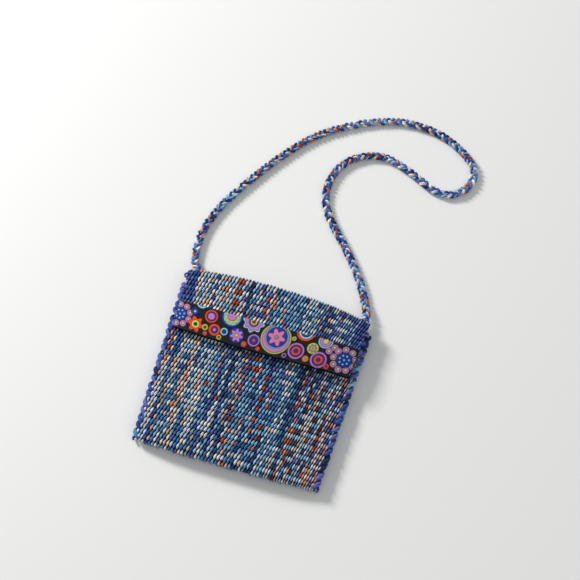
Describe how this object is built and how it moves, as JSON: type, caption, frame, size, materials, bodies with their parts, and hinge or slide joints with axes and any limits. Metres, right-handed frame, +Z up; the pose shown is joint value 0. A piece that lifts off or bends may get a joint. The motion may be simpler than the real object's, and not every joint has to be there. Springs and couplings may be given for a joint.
{
  "type": "handwoven shoulder bag",
  "caption": "Small flat shoulder pouch of handwoven cloth with a front flap edged in patterned ribbon and a braided cord strap.",
  "frame": {"origin": "middle of the base of the pouch's own box, without the strap, as the bag lies on its back", "axes": "+X to the right across the flap, +Y from the bottom fold towards the top fold and the strap, +Z up out of the front"},
  "size_m": [0.2316, 0.3827, 0.0218],
  "materials": {
    "weave": "thick warp-faced handwoven wool in streaks of blue, white and rust",
    "seam": "thick blue and violet yarn",
    "ribbon": "black woven ribbon with round flower figures",
    "thread": "dark sewing thread",
    "strap": "flat braid of blue, white and rust yarns"
  },
  "bodies": {
    "pouch": {"back_panel": "weave", "front_panel": "weave", "bottom_fold": "weave", "top_fold": "weave", "side_seam_left": "seam", "side_seam_right": "seam", "strap": "strap", "strap_end_left": "strap", "strap_end_right": "strap", "strap_tack_left": "thread", "strap_tack_right": "thread"},
    "flap": {"flap_panel": "weave", "flap_selvedge_left": "seam", "flap_selvedge_right": "seam", "ribbon_trim": "ribbon", "ribbon_stitch_lower": "thread", "ribbon_stitch_upper": "thread"}
  },
  "joints": [
    {"name": "flap_hinge", "type": "hinge", "parent": "pouch", "child": "flap", "pos_m": [0, 0.082, 0.0176], "axis": [-1, 0, 0], "range_deg": [0, 165]}
  ]
}
